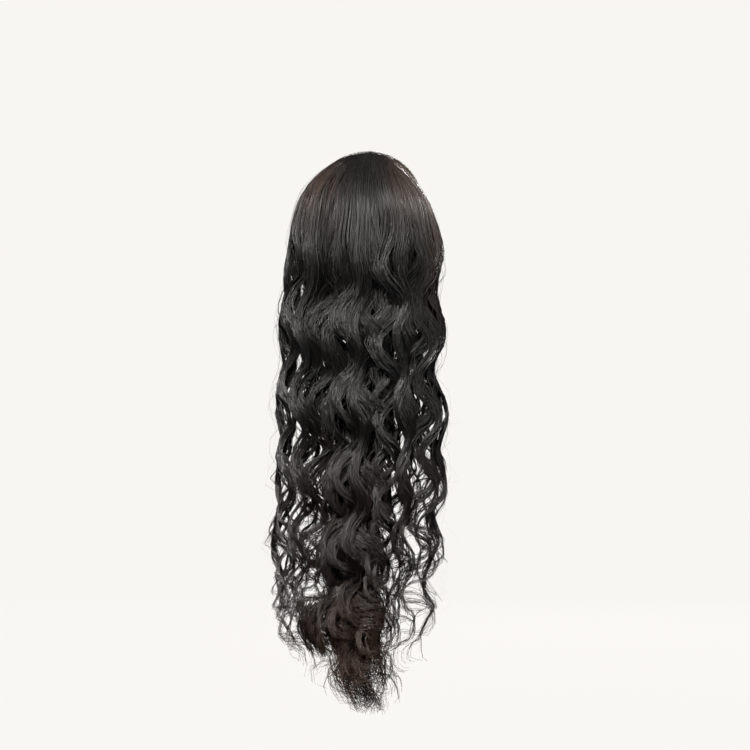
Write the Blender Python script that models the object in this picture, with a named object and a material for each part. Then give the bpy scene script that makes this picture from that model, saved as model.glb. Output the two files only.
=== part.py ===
# A clip-in ponytail hairpiece: a domed cap that goes over the wearer's own bun, a gathered band
# round the cap's edge, two combs inside it, and a long wavy tail of hair in two layers.
#
# Metres, +Z up. The wearer faces +Y, so the tail hangs down on the -Y side of the head.
# The origin is the centre of the cap's open rim, where it sits on the back of the head.

import math
import random
from collections import namedtuple

import bmesh
import bpy
import numpy
from mathutils import Matrix, Vector

MM = 0.001

# Cap, band and combs
CAP_RADIUS = 51 * MM
CAP_DEPTH = 36 * MM
CAP_WALL = 1.5 * MM
CAP_LEAN = math.radians(20)  # the rim leans towards the forehead at its top
CAP_SIDES = 32
GAP = 0.4 * MM  # left between pieces that touch
BAND_WIDTH = 8 * MM
BAND_THICK = 2 * MM
BAND_GATHERS = 24
GATHER_RISE = 0.8 * MM
COMB_WIDTH = 40 * MM
COMB_SPINE = 5 * MM
COMB_TOOTH = 15 * MM
COMB_THICK = 1.6 * MM
COMB_TEETH = 9
TOOTH_TAPER = 0.037  # drawn in at each third of its length, as a share of the pitch

# Hair. A section is one level cut through the tail: its height, half width, centre, and how far
# its outer side (front) and its head side (back) lie along Y.
Section = namedtuple("Section", "height half_width centre_x front back")
OUTER_MM = (
    Section(55, 12, -3, -3, 14),
    Section(52, 24, -3, -10, 15),
    Section(48, 30, -4, -17, 15),
    Section(42, 37, -5.5, -24, 14),
    Section(35, 43, -6.5, -30.5, 12),
    Section(22, 51, -7, -40, 7),
    Section(10, 58, -8, -47, 2),
    Section(-5, 65, -5, -52, -3),
    Section(-20, 70, -4, -55, -8),
    Section(-40, 72, -3, -58, -14.5),
    Section(-60, 71, -4, -58, -17),
    Section(-85, 75, -8, -59, -10),
    Section(-110, 78, -6.5, -61, -5),
    Section(-150, 76, -10, -64, 0),
    Section(-200, 81, -9, -66, 4),
    Section(-250, 82, -8, -67, 6),
    Section(-300, 81, -10, -66, 5),
    Section(-340, 82, -13, -64, 3),
    Section(-380, 78, -13, -61, 0),
    Section(-420, 76, -14, -56, -5),
    Section(-445, 66, -10, -52, -10),
    Section(-470, 40, -8, -47, -16),
    Section(-508, 22, 6, -42, -22),
)
UNDER_MM = (
    Section(-30, 40, -3, -49.5, -27),
    Section(-56, 53, -4, -49, -20),
    Section(-85, 56, -6, -49, -9),
    Section(-120, 58, -8, -50, -1),
    Section(-170, 60, -9, -52, 5),
    Section(-230, 61, -9, -53, 9),
    Section(-300, 58, -11, -53, 8),
    Section(-360, 52, -12, -50, 5),
    Section(-410, 44, -11, -46, -2),
    Section(-450, 36, -9, -42, -8),
    Section(-490, 26, -4, -38, -14),
)
CROWN_THICK = 4 * MM  # hair over the cap
CROWN_SHIFT = -2.5 * MM
OUTER_END = -425 * MM  # the solid part of each layer stops here and its lock tips go on
UNDER_END = -400 * MM
NARROW_FROM = -270 * MM  # the solid part draws in from here down
NARROW_TO = 0.42
OUTER_CUTS = 38
UNDER_CUTS = 22
LAYER_GAP = 0.8 * MM  # between the outer layer's inside and the under layer
LAYER_REACH = math.radians(128)  # the outer layer wraps this far round from its front, each way
INNER_REACH = math.radians(118)
INNER_POINTS = 8
BACK_FROM = 0.74  # the under layer is ridged past this share of the way round to its back
PLAIN_REACH = math.radians(125)
WAVE_START = 35 * MM  # hair above this height is sleek
WAVE_FULL = -110 * MM
WAVE_LENGTH_TOP = 84 * MM
WAVE_LENGTH_TIP = 60 * MM
WAVE_SWAY = 8.5 * MM
WAVE_LIFT = 0.35  # the share of the sway that also moves in and out
RIDGE_RISE = 5 * MM
Ridge = namedtuple("Ridge", "across rise")
RIDGE = (Ridge(0, 0), Ridge(0.3, 1), Ridge(0.68, 0.72))  # valley, crest and shoulder of one lock
OUTER_RIDGES = 14
OUTER_LOCKS = 12
UNDER_RIDGES = 5
UNDER_LOCKS = 3
LOCK_SIDES = 5
LOCK_STEP = 11 * MM


def mix(a, b, share):
    return a + (b - a) * share


def section_at(table, height):
    """The cut at this height, read smoothly between the table's rows, in metres."""
    level = height / MM
    if level >= table[0].height:
        return Section(*(value * MM for value in table[0]))
    for upper, lower in zip(table, table[1:]):
        if level >= lower.height:
            share = (upper.height - level) / (upper.height - lower.height)
            return Section(*(mix(a, b, share) * MM for a, b in zip(upper, lower)))
    return Section(*(value * MM for value in table[-1]))


def dome_profile(radius, depth, low, steps):
    """Points of a dome from the level where it starts up to its crown."""
    first = math.asin(low / depth)
    turns = [mix(first, math.pi / 2, i / steps) for i in range(steps + 1)]
    points = [(radius * math.cos(turn), depth * math.sin(turn)) for turn in turns]
    return points[:-1] + [(0, depth)]


def point_on(cut, angle, share=1.0):
    """A point of the cut's oval: angle 0 is its outer side and a quarter turn is +X."""
    middle = (cut.front + cut.back) / 2
    depth = (cut.back - cut.front) / 2
    return Vector(
        (
            cut.centre_x + share * cut.half_width * math.sin(angle),
            middle - share * depth * math.cos(angle),
            cut.height,
        )
    )


def wave_turns(height):
    """How many waves the hair has made on its way down to this height."""
    drop = max(0.0, WAVE_START - height)
    fall = WAVE_START - OUTER_MM[-1].height * MM
    slope = (WAVE_LENGTH_TIP - WAVE_LENGTH_TOP) / fall
    return math.log(1 + slope * drop / WAVE_LENGTH_TOP) / slope


def smooth_step(low, high, value):
    """Rises from 0 to 1 between the two values, level at both ends."""
    share = min(1.0, max(0.0, (value - low) / (high - low)))
    return share * share * (3 - 2 * share)


def skinned(rings):
    """Skins a row of equal rings into one closed body."""
    shape = bmesh.new()
    made = [[shape.verts.new(point) for point in ring] for ring in rings]
    count = len(made[0])
    for upper, lower in zip(made, made[1:]):
        for i in range(count):
            after = (i + 1) % count
            shape.faces.new((upper[i], upper[after], lower[after], lower[i]))
    shape.faces.new(reversed(made[0]))
    shape.faces.new(made[-1])
    bmesh.ops.recalc_face_normals(shape, faces=shape.faces)
    return shape


def material(name, colour, roughness):
    made = bpy.data.materials.new(name)
    made.use_nodes = True
    shader = made.node_tree.nodes["Principled BSDF"]
    shader.inputs["Base Color"].default_value = (*colour, 1)
    shader.inputs["Roughness"].default_value = roughness
    shader.inputs["Metallic"].default_value = 0
    made.diffuse_color = (*colour, 1)
    return made


def add_object(name, shape, finish, parent=None, helper=False):
    mesh = bpy.data.meshes.new(name)
    shape.to_mesh(mesh)
    shape.free()
    mesh.shade_smooth()
    mesh.set_sharp_from_angle(angle=math.radians(50))
    piece = bpy.data.objects.new(name, mesh)
    bpy.context.scene.collection.objects.link(piece)
    piece.parent = parent
    if finish:
        mesh.materials.append(finish)
    if helper:
        piece.hide_render = True
        piece.display_type = "WIRE"
    return piece


def dome_radius(radius, depth, level):
    """Radius of a dome of this size at a level above its rim."""
    return radius * math.sqrt(max(0.0, 1 - (level / depth) ** 2))


def spun(profile, sides):
    """Turns a profile of (radius, level) points about the cap's axis."""
    shape = bmesh.new()
    verts = [shape.verts.new((radius, 0, level)) for radius, level in profile]
    edges = [shape.edges.new(pair) for pair in zip(verts, verts[1:])]
    bmesh.ops.spin(
        shape,
        geom=verts + edges,
        axis=(0, 0, 1),
        cent=(0, 0, 0),
        angle=math.tau,
        steps=sides,
        use_merge=True,
    )
    bmesh.ops.remove_doubles(shape, verts=shape.verts, dist=0.01 * MM)
    bmesh.ops.recalc_face_normals(shape, faces=shape.faces)
    return shape


def make_cap(seat, finish):
    """An open dome of even wall, rim at level 0."""
    outer = dome_profile(CAP_RADIUS, CAP_DEPTH, 0, 7)
    inner = dome_profile(CAP_RADIUS - CAP_WALL, CAP_DEPTH - CAP_WALL, 0, 7)
    return add_object("base_cap", spun(outer[::-1] + inner, CAP_SIDES), finish, seat)


def make_band(seat, finish):
    """A folded binding that holds the cap's edge between its two legs, gathered on the outside."""
    inside = CAP_RADIUS - CAP_WALL - GAP
    outside = CAP_RADIUS + GAP
    shape = bmesh.new()
    stations = 2 * BAND_GATHERS
    rings = []
    for i in range(stations):
        turn = math.tau * i / stations
        rise = GATHER_RISE if i % 2 else 0.0
        lip_in = dome_radius(inside, CAP_DEPTH - CAP_WALL, BAND_WIDTH)
        lip_out = dome_radius(outside, CAP_DEPTH + GAP, BAND_WIDTH)
        profile = (
            (lip_in - BAND_THICK, BAND_WIDTH),
            (lip_in, BAND_WIDTH),
            (inside, -GAP),
            (outside, -GAP),
            (outside, BAND_WIDTH * 0.5),
            (lip_out + GAP, BAND_WIDTH),
            (lip_out + BAND_THICK, BAND_WIDTH + rise),
            (outside + BAND_THICK + rise, BAND_WIDTH * 0.5),
            (outside + BAND_THICK, -GAP - BAND_THICK),
            (inside - BAND_THICK, -GAP - BAND_THICK),
        )
        rings.append(
            [(r * math.cos(turn), r * math.sin(turn), level) for r, level in profile]
        )
    made = [[shape.verts.new(point) for point in ring] for ring in rings]
    count = len(made[0])
    for i, ring in enumerate(made):
        beside = made[(i + 1) % stations]
        for j in range(count):
            after = (j + 1) % count
            shape.faces.new((ring[j], ring[after], beside[after], beside[j]))
    bmesh.ops.recalc_face_normals(shape, faces=shape.faces)
    return add_object("edge_band", shape, finish, seat)


def make_comb(name, seat, finish, turn):
    """A plain comb that follows the cap's inner wall, spine at the band, teeth to the crown."""
    clear = BAND_THICK + 3.5 * GAP
    pitch = COMB_WIDTH / (COMB_TEETH - 0.5)
    lefts = [pitch * i - COMB_WIDTH / 2 for i in range(COMB_TEETH)]
    edges = sorted(lefts + [left + pitch / 2 for left in lefts])
    levels = [mix(COMB_SPINE, COMB_SPINE + COMB_TOOTH, k / 3) for k in range(4)]
    quads = [((a, 0), (b, 0), (b, COMB_SPINE), (a, COMB_SPINE)) for a, b in zip(edges, edges[1:])]
    for left in lefts:
        right = left + pitch / 2
        for k, (low, high) in enumerate(zip(levels, levels[1:])):
            wide = TOOTH_TAPER * k * pitch
            slim = TOOTH_TAPER * (k + 1) * pitch
            quads.append(
                ((left + wide, low), (right - wide, low), (right - slim, high), (left + slim, high))
            )
    shape = bmesh.new()
    for quad in quads:
        corners = []
        for across, level in quad:
            radius = dome_radius(CAP_RADIUS - CAP_WALL, CAP_DEPTH - CAP_WALL, level)
            corners.append(
                shape.verts.new((across, math.sqrt(radius**2 - across**2) - clear, level))
            )
        shape.faces.new(corners)
    bmesh.ops.remove_doubles(shape, verts=shape.verts, dist=0.01 * MM)
    bmesh.ops.solidify(shape, geom=shape.faces[:], thickness=-COMB_THICK)
    bmesh.ops.recalc_face_normals(shape, faces=shape.faces)
    bmesh.ops.rotate(
        shape, verts=shape.verts, cent=(0, 0, 0), matrix=Matrix.Rotation(turn, 3, "Z")
    )
    return add_object(name, shape, finish, seat)


def make_cap_cutter(seat):
    """The room that the cap, its band and the head behind it take, with the gap added."""
    clear = GAP + 0.2 * MM
    wide = CAP_RADIUS + 2 * GAP + BAND_THICK + GATHER_RISE + clear
    level = BAND_WIDTH + GATHER_RISE + clear
    dome = dome_profile(CAP_RADIUS + clear, CAP_DEPTH + clear, level, 7)
    profile = [(0, -30 * MM), (wide, -30 * MM), (wide, level)] + dome
    return add_object("cap_room", spun(profile, CAP_SIDES), None, seat, helper=True)


def make_crown(name, seat, thick, low):
    """The hair that lies over the cap, from which the ridged part hangs, or the room it takes."""
    dome = dome_profile(CAP_RADIUS + thick, CAP_DEPTH + thick, low, 7)
    crown = add_object(name, spun([(0, low)] + dome, CAP_SIDES), None, seat, helper=True)
    crown.location.x = CROWN_SHIFT
    return crown


def body_share(height):
    """The share of its section that a layer's solid part fills at this height."""
    return mix(1, NARROW_TO, smooth_step(-NARROW_FROM, -OUTER_END, -height))


def drawn_in(cut, share):
    """The cut made smaller about its own middle."""
    middle = (cut.front + cut.back) / 2
    depth = (cut.back - cut.front) / 2
    return cut._replace(
        half_width=cut.half_width * share,
        front=middle - depth * share,
        back=middle + depth * share,
    )


def waved(cut, place, reach, rise=0.0):
    """A point on the cut's waved surface, and the way out there.

    Place runs from -1 to 1 across the reach, with 0 at the outer side.
    """
    angles = numpy.linspace(0, math.pi, 61)
    points = numpy.array([point_on(cut, angle) for angle in angles])
    steps = numpy.linalg.norm(numpy.diff(points, axis=0), axis=1)
    walked = numpy.concatenate(([0], numpy.cumsum(steps)))
    half = numpy.interp(reach, angles, walked)
    loose = smooth_step(-WAVE_START, -WAVE_FULL, -cut.height)
    phase = 0.8 * math.sin(2.3 * place + 0.4) + 0.5 * math.sin(6.1 * place)
    turn = math.tau * wave_turns(cut.height) + phase
    distance = place * half + WAVE_SWAY * loose * math.sin(turn)
    whole = walked[-1]
    distance = (distance + whole) % (2 * whole) - whole
    angle = math.copysign(numpy.interp(abs(distance), walked, angles), distance)
    middle = (cut.front + cut.back) / 2
    depth = (cut.back - cut.front) / 2
    out = Vector((math.sin(angle) * depth, -math.cos(angle) * cut.half_width, 0)).normalized()
    lift = WAVE_LIFT * WAVE_SWAY * loose * math.cos(turn)
    return point_on(cut, angle) + out * (lift + rise), out


def ridged_side(cut, reach, first, last, ridges, seed):
    """The waved outer side of a layer at one cut, between two places of its reach."""
    loose = smooth_step(-WAVE_START, -WAVE_FULL, -cut.height)
    points = []
    for i in range(ridges):
        swell = 0.75 + 0.35 * math.sin(2.1 * i + seed + cut.height / (47 * MM))
        for ridge in RIDGE:
            place = mix(first, last, (i + ridge.across) / ridges)
            rise = RIDGE_RISE * ridge.rise * swell * mix(0.4, 1, loose)
            points.append(waved(cut, place, reach, rise)[0])
    points.append(waved(cut, last, reach)[0])
    return points


def outer_rings():
    """Level cuts through the outer layer's solid part: crescents open towards the head."""
    rings = []
    for i in range(OUTER_CUTS + 1):
        height = mix(OUTER_MM[0].height * MM, OUTER_END, (i / OUTER_CUTS) ** 1.1)
        cut = drawn_in(section_at(OUTER_MM, height), body_share(height))
        outer = ridged_side(cut, LAYER_REACH, -1, 1, OUTER_RIDGES, 0.3)
        angles = [mix(INNER_REACH, -INNER_REACH, k / INNER_POINTS) for k in range(INNER_POINTS + 1)]
        if height > (UNDER_MM[0].height + 8) * MM:
            inner = [point_on(cut, angle, 0.45) for angle in angles]
        else:
            under = drawn_in(section_at(UNDER_MM, height), body_share(height))
            room = LAYER_GAP + WAVE_LIFT * WAVE_SWAY
            grown = under._replace(
                height=height,
                half_width=under.half_width + room,
                front=under.front - room,
                back=under.back + room,
            )
            inner = [point_on(grown, angle) for angle in angles]
        rings.append(outer + inner)
    return rings


def under_rings():
    """Level cuts through the under layer's solid part: plain in front, ridged towards the head."""
    rings = []
    for i in range(UNDER_CUTS + 1):
        height = mix(UNDER_MM[0].height * MM, UNDER_END, i / UNDER_CUTS)
        cut = drawn_in(section_at(UNDER_MM, height), body_share(height))
        plain = [point_on(cut, mix(-PLAIN_REACH, PLAIN_REACH, k / 12)) for k in range(13)]
        ridged = ridged_side(cut, math.pi, BACK_FROM, 2 - BACK_FROM, UNDER_RIDGES, 1.9)
        rings.append(plain + ridged)
    return rings


def lock_rings(table, place, reach, top, tip, width, rise):
    """The free end of one lock: it leaves the layer's solid part and tapers to its tip."""
    count = max(6, round((top - tip) / LOCK_STEP))
    stations = []
    for i in range(count + 1):
        height = mix(top, tip, i / count)
        freed = smooth_step(0, 110 * MM, top - height)
        share = mix(body_share(height), 1, freed)
        cut = drawn_in(section_at(table, height), share)
        stations.append(waved(cut, place, reach, rise * freed))
    rings = []
    for i, (point, out) in enumerate(stations):
        run = (stations[min(count, i + 1)][0] - stations[max(0, i - 1)][0]).normalized()
        flat = run.cross(out).normalized()
        face = flat.cross(run).normalized()
        along = i / count
        half = width * mix(0.8, 1, smooth_step(0, 0.25, along))
        half *= 1 - 0.88 * smooth_step(0.35, 1, along)
        thick = half * mix(0.45, 0.75, along)
        ring = []
        for k in range(LOCK_SIDES):
            a = math.tau * (k + 0.25) / LOCK_SIDES
            ring.append(point + flat * half * math.cos(a) + face * thick * math.sin(a))
        rings.append(ring)
    return rings


def keep_main_shell(shape):
    """Drops pockets shut in between locks, and chips that the cutter left loose."""
    shells = []
    waiting = set(shape.faces)
    while waiting:
        shell = [waiting.pop()]
        for face in shell:
            for edge in face.edges:
                for beside in edge.link_faces:
                    if beside in waiting:
                        waiting.remove(beside)
                        shell.append(beside)
        shells.append(shell)
    main_shell = max(shells, key=lambda shell: sum(face.calc_area() for face in shell))
    loose = [face for shell in shells if shell is not main_shell for face in shell]
    bmesh.ops.delete(shape, geom=loose, context="FACES")


def make_layer(name, solid_part, joined, cutters, finish):
    """A layer of hair: its solid part with every joined piece in one body, cut clear of the cap."""
    rough = add_object(name + "_rough", skinned(solid_part), None)
    group = bpy.data.collections.new(name + "_locks")
    bpy.context.scene.collection.children.link(group)
    for piece in joined:
        bpy.context.scene.collection.objects.unlink(piece)
        group.objects.link(piece)
    join = rough.modifiers.new("join locks", "BOOLEAN")
    join.operation = "UNION"
    join.operand_type = "COLLECTION"
    join.collection = group
    join.solver = "MANIFOLD"
    for cutter in cutters:
        cut = rough.modifiers.new("clear " + cutter.name, "BOOLEAN")
        cut.operation = "DIFFERENCE"
        cut.solver = "MANIFOLD"
        cut.object = cutter
    seen = rough.evaluated_get(bpy.context.evaluated_depsgraph_get())
    shape = bmesh.new()
    shape.from_mesh(seen.to_mesh())
    seen.to_mesh_clear()
    for piece in list(group.objects):
        bpy.data.objects.remove(piece)
    bpy.data.objects.remove(rough)
    bpy.data.collections.remove(group)
    keep_main_shell(shape)
    return add_object(name, shape, finish)


def main():
    for piece in list(bpy.data.objects):
        bpy.data.objects.remove(piece)
    dice = random.Random(11)
    net = material("black net", (0.02, 0.02, 0.022), 0.8)
    elastic = material("grey elastic", (0.16, 0.16, 0.165), 0.75)
    plastic = material("black plastic", (0.015, 0.015, 0.016), 0.35)
    hair = material("off black hair", (0.022, 0.018, 0.017), 0.4)

    seat = bpy.data.objects.new("cap_seat", None)
    seat.rotation_euler.x = math.radians(90) - CAP_LEAN
    bpy.context.scene.collection.objects.link(seat)
    make_cap(seat, net)
    make_band(seat, elastic)
    make_comb("upper_comb", seat, plastic, 0)
    make_comb("lower_comb", seat, plastic, math.pi)
    room = make_cap_cutter(seat)

    crown = make_crown("crown", seat, CROWN_THICK, BAND_WIDTH)
    crown_room = make_crown("crown_room", seat, CROWN_THICK + LAYER_GAP, BAND_WIDTH - GAP)
    outer = [crown]
    for i in range(OUTER_LOCKS):
        place = mix(-0.76, 0.76, i / (OUTER_LOCKS - 1))
        top = mix(-285, -365, abs(math.sin(1.3 * i + 0.5))) * MM
        tip = mix(-508, -430, abs(math.sin(2.4 * i + 0.2))) * MM
        width = dice.uniform(6, 8.5) * MM
        rings = lock_rings(OUTER_MM, place, LAYER_REACH, top, tip, width, 3 * MM)
        outer.append(add_object(f"outer_lock_{i:02d}", skinned(rings), None))
    make_layer("hair_outer_layer", outer_rings(), outer, [room], hair)
    under = []
    for i in range(UNDER_LOCKS):
        place = mix(0.86, 1.14, i / (UNDER_LOCKS - 1))
        top = mix(-290, -340, abs(math.sin(1.7 * i))) * MM
        tip = mix(-490, -430, abs(math.sin(1.9 * i + 0.7))) * MM
        rings = lock_rings(UNDER_MM, place, math.pi, top, tip, 7 * MM, 0)
        under.append(add_object(f"under_lock_{i:02d}", skinned(rings), None))
    make_layer("hair_under_layer", under_rings(), under, [room, crown_room], hair)


main()
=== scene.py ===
import math
import bmesh
import bpy
import numpy as np
from mathutils import Matrix, Vector


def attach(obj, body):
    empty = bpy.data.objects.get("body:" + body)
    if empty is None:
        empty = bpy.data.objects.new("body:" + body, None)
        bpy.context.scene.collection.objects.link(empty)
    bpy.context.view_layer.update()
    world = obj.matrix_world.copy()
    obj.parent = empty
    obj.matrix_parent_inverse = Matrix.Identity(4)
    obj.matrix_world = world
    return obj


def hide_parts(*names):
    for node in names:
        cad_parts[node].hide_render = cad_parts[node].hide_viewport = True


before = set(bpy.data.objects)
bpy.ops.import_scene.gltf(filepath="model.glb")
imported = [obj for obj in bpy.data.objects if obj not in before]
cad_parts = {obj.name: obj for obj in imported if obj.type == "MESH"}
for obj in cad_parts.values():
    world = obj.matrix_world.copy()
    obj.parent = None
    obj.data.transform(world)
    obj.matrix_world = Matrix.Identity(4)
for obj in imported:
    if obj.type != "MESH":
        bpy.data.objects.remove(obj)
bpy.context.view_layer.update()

# A ponytail hairpiece: strands and locks of hair over a net cap, with a gathered band and two combs.
# Metres, +Z up. The tail hangs on the -Y side and the cap's rim is centred on the origin.
mm = 0.001
lean = math.radians(20)
upWay = np.array((0.0, math.sin(lean), math.cos(lean)))  # in the rim's plane, to its top
outWay = np.array((0.0, -math.cos(lean), math.sin(lean)))  # from the rim to the crown of the cap


def smoothStep(low, high, value):
    share = np.clip((np.asarray(value, float) - low) / (high - low), 0, 1)
    return share * share * (3 - 2 * share)


def setMaterial(piece, finish):
    piece.data.materials.clear()
    piece.data.materials.append(finish)


def newObject(name, mesh):
    piece = bpy.data.objects.new(name, mesh)
    bpy.context.scene.collection.objects.link(piece)
    return piece


# camera, floor and lights, in metres
view = {"distance": 2.53, "lens": 120, "sensor": 36, "aimX": 0.007, "aimZ": -0.175}
stage = {
    "floor": -0.62, "flat": 2.8, "bend": 1.0, "wallTop": 3.5, "steps": 72,
    "colour": (0.01, 0.0098, 0.0095), "glow": (1.0, 0.98, 0.945), "glowStrength": 0.93,
    "room": (0.95, 0.95, 1.0), "roomStrength": 0.09,
    "lampColour": (1.0, 0.975, 0.95), "lampAim": (0, 0, -0.15),
}
# name, place, width, height and watts
lamps = (
    ("front light", (-0.75, -2.5, 2.3), 0.7, 1.2, 290),
    ("top light", (0.15, -0.75, 1.5), 0.5, 0.7, 7),
    ("right light", (1.9, -0.5, 0.5), 0.5, 1.0, 20),
    ("left light", (-1.9, -0.4, 0.5), 0.5, 1.0, 16),
    ("back light", (0.5, 2.2, 0.5), 0.6, 1.0, 62),
)


def setCamera():
    cameraData = bpy.data.cameras.new("camera")
    cameraData.lens = view["lens"]
    cameraData.sensor_width = view["sensor"]
    camera = newObject("camera", cameraData)
    camera.location = (view["aimX"], -view["distance"], view["aimZ"])
    camera.rotation_euler = (math.pi / 2, 0, 0)
    bpy.context.scene.camera = camera


def setFloor():
    # a round floor that curves up into a wall
    sweep = bmesh.new()
    flat, bend = stage["flat"], stage["bend"]
    turns = [math.radians(a) for a in range(0, 91, 10)]
    outline = [(0, 0)] + [(flat + bend * math.sin(a), bend * (1 - math.cos(a))) for a in turns]
    outline += [(flat + bend, stage["wallTop"])]
    line = [sweep.verts.new((r, 0, z + stage["floor"])) for r, z in outline]
    edges = [sweep.edges.new(pair) for pair in zip(line, line[1:])]
    bmesh.ops.spin(
        sweep, geom=line + edges, cent=(0, 0, 0), axis=(0, 0, 1), dvec=(0, 0, 0),
        angle=math.tau, steps=stage["steps"], use_merge=True,
    )
    bmesh.ops.remove_doubles(sweep, verts=sweep.verts, dist=0.0001)
    bmesh.ops.recalc_face_normals(sweep, faces=sweep.faces)
    bmesh.ops.reverse_faces(sweep, faces=sweep.faces)
    floorMesh = bpy.data.meshes.new("floor")
    sweep.to_mesh(floorMesh)
    sweep.free()
    floorMesh.shade_smooth()
    floor = newObject("floor", floorMesh)
    finish = bpy.data.materials.new("pale floor")
    finish.use_nodes = True
    shader = finish.node_tree.nodes["Principled BSDF"]
    shader.inputs["Base Color"].default_value = (*stage["colour"], 1)
    shader.inputs["Roughness"].default_value = 1.0
    shader.inputs["Specular IOR Level"].default_value = 0.0
    shader.inputs["Emission Color"].default_value = (*stage["glow"], 1)
    shader.inputs["Emission Strength"].default_value = stage["glowStrength"]
    setMaterial(floor, finish)
    # the pale floor is seen, and doesn't wash out the black hair
    floor.visible_diffuse = False
    floor.visible_glossy = False


def setLights():
    world = bpy.data.worlds.new("pale room")
    world.use_nodes = True
    world.node_tree.nodes["Background"].inputs["Color"].default_value = (*stage["room"], 1)
    world.node_tree.nodes["Background"].inputs["Strength"].default_value = stage["roomStrength"]
    bpy.context.scene.world = world
    bpy.context.scene.view_settings.view_transform = "Standard"
    for name, place, wide, tall, power in lamps:
        lamp = bpy.data.lights.new(name, "AREA")
        lamp.shape = "RECTANGLE"
        lamp.size = wide
        lamp.size_y = tall
        lamp.energy = power
        lamp.color = stage["lampColour"]
        light = newObject(name, lamp)
        light.location = place
        aim = Vector(stage["lampAim"]) - light.location
        light.rotation_euler = aim.to_track_quat("-Z", "Y").to_euler()


setCamera()
setFloor()
setLights()
print("camera, floor and lights are set")

# how the tail hangs, in mm; each row is height, half width, centre x, outer side y and head side y
tail = {
    "outer": (
        (55, 12, -3, -3, 14), (52, 24, -3, -10, 15), (48, 30, -4, -17, 15), (42, 37, -5.5, -24, 14),
        (35, 43, -6.5, -30.5, 12), (22, 51, -7, -40, 7), (10, 58, -8, -47, 2), (-5, 65, -5, -52, -3),
        (-20, 70, -4, -55, -8), (-40, 72, -3, -58, -14.5), (-60, 71, -4, -58, -17),
        (-85, 75, -8, -59, -10), (-110, 78, -6.5, -61, -5), (-150, 76, -10, -64, 0),
        (-200, 81, -9, -66, 4), (-250, 82, -8, -67, 6), (-300, 81, -10, -66, 5),
        (-340, 82, -13, -64, 3), (-380, 78, -13, -61, 0), (-420, 76, -14, -56, -5),
        (-445, 72, -11, -52, -10), (-470, 62, -9, -49, -14), (-508, 40, 2, -44, -20),
    ),
    "under": (
        (-10, 34, -3, -49.5, -27), (-30, 40, -3, -49.5, -27), (-56, 52, -4, -49, -20),
        (-85, 54, -6, -49, -9), (-120, 53, -8, -50, -1), (-170, 52, -9, -52, 5),
        (-230, 52, -9, -53, 8), (-300, 50, -11, -53, 7), (-360, 47, -12, -50, 4),
        (-410, 42, -11, -46, -2), (-450, 36, -9, -42, -8), (-490, 28, -4, -38, -14),
    ),
    "length": 508, "waveTop": 84, "waveTip": 60, "sleekAbove": 35, "wavyBelow": -110,
    "capRadius": 51, "capDepth": 36, "bandWidth": 8, "bareEdge": 4, "barePatch": 12,
}
# how finely the rows are read: the step down, the run past the last row and the steps half way round
reading = {"step": 2.0, "past": 12, "blur": 15, "angles": 121, "shares": 240}


def layerForm(rows):
    # an even table of level ovals, and where each share of the way round lies on them
    heights = np.arange(rows[0][0], rows[-1][0] - reading["past"], -reading["step"])
    table = np.array(rows, float)
    columns = [np.interp(-heights, -table[:, 0], table[:, k]) for k in range(1, 5)]
    kernel = np.hanning(reading["blur"])
    kernel /= kernel.sum()
    margin = reading["blur"] // 2
    soft = [np.convolve(np.pad(c, margin, mode="edge"), kernel, mode="valid") for c in columns]
    blend = smoothStep(40, 10, heights)
    half, centre, front, back = (c + (s - c) * blend for c, s in zip(columns, soft))
    angles = np.linspace(0, math.pi, reading["angles"])
    wide = half[:, None] * np.sin(angles)
    deep = (back - front)[:, None] / 2 * np.cos(angles)
    steps = np.hypot(np.diff(wide, axis=1), np.diff(deep, axis=1))
    walked = np.concatenate((np.zeros((len(heights), 1)), np.cumsum(steps, axis=1)), axis=1)
    shares = np.linspace(0, 1, reading["shares"] + 1)
    turned = np.array([np.interp(shares, w / w[-1], angles) for w in walked])
    return {"heights": heights, "half": half, "centre": centre, "front": front, "back": back,
            "whole": walked[:, -1], "turned": turned}


def readForm(form, height, around):
    # the point of the oval, its outward way and its half perimeter; around is -1 to 1, 0 in front
    row = np.clip((form["heights"][0] - height) / reading["step"], 0, len(form["heights"]) - 1.001)
    low = row.astype(int)
    part = row - low
    read = {}
    for key in ("half", "centre", "front", "back", "whole"):
        values = form[key]
        read[key] = values[low] * (1 - part) + values[low + 1] * part
    wrapped = (around + 1) % 2 - 1
    place = np.abs(wrapped) * reading["shares"]
    cell = np.minimum(place.astype(int), reading["shares"] - 1)
    rest = place - cell
    turned = form["turned"]
    upper = turned[low, cell] * (1 - rest) + turned[low, cell + 1] * rest
    lower = turned[low + 1, cell] * (1 - rest) + turned[low + 1, cell + 1] * rest
    angle = (upper * (1 - part) + lower * part) * np.where(wrapped < 0, -1.0, 1.0)
    middle = (read["front"] + read["back"]) / 2
    depth = (read["back"] - read["front"]) / 2
    point = np.stack(
        (read["centre"] + read["half"] * np.sin(angle), middle - depth * np.cos(angle), height), -1
    )
    out = np.stack((np.sin(angle) * depth, -np.cos(angle) * read["half"], 0 * angle), -1)
    out /= np.linalg.norm(out, axis=-1, keepdims=True)
    return point, out, read["whole"]


def wavesDown(height):
    # how many waves lie above this height; they get shorter towards the tip
    drop = np.maximum(0, tail["sleekAbove"] - height)
    slope = (tail["waveTip"] - tail["waveTop"]) / (tail["sleekAbove"] + tail["length"])
    return np.log(1 + slope * drop / tail["waveTop"]) / slope


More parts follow.
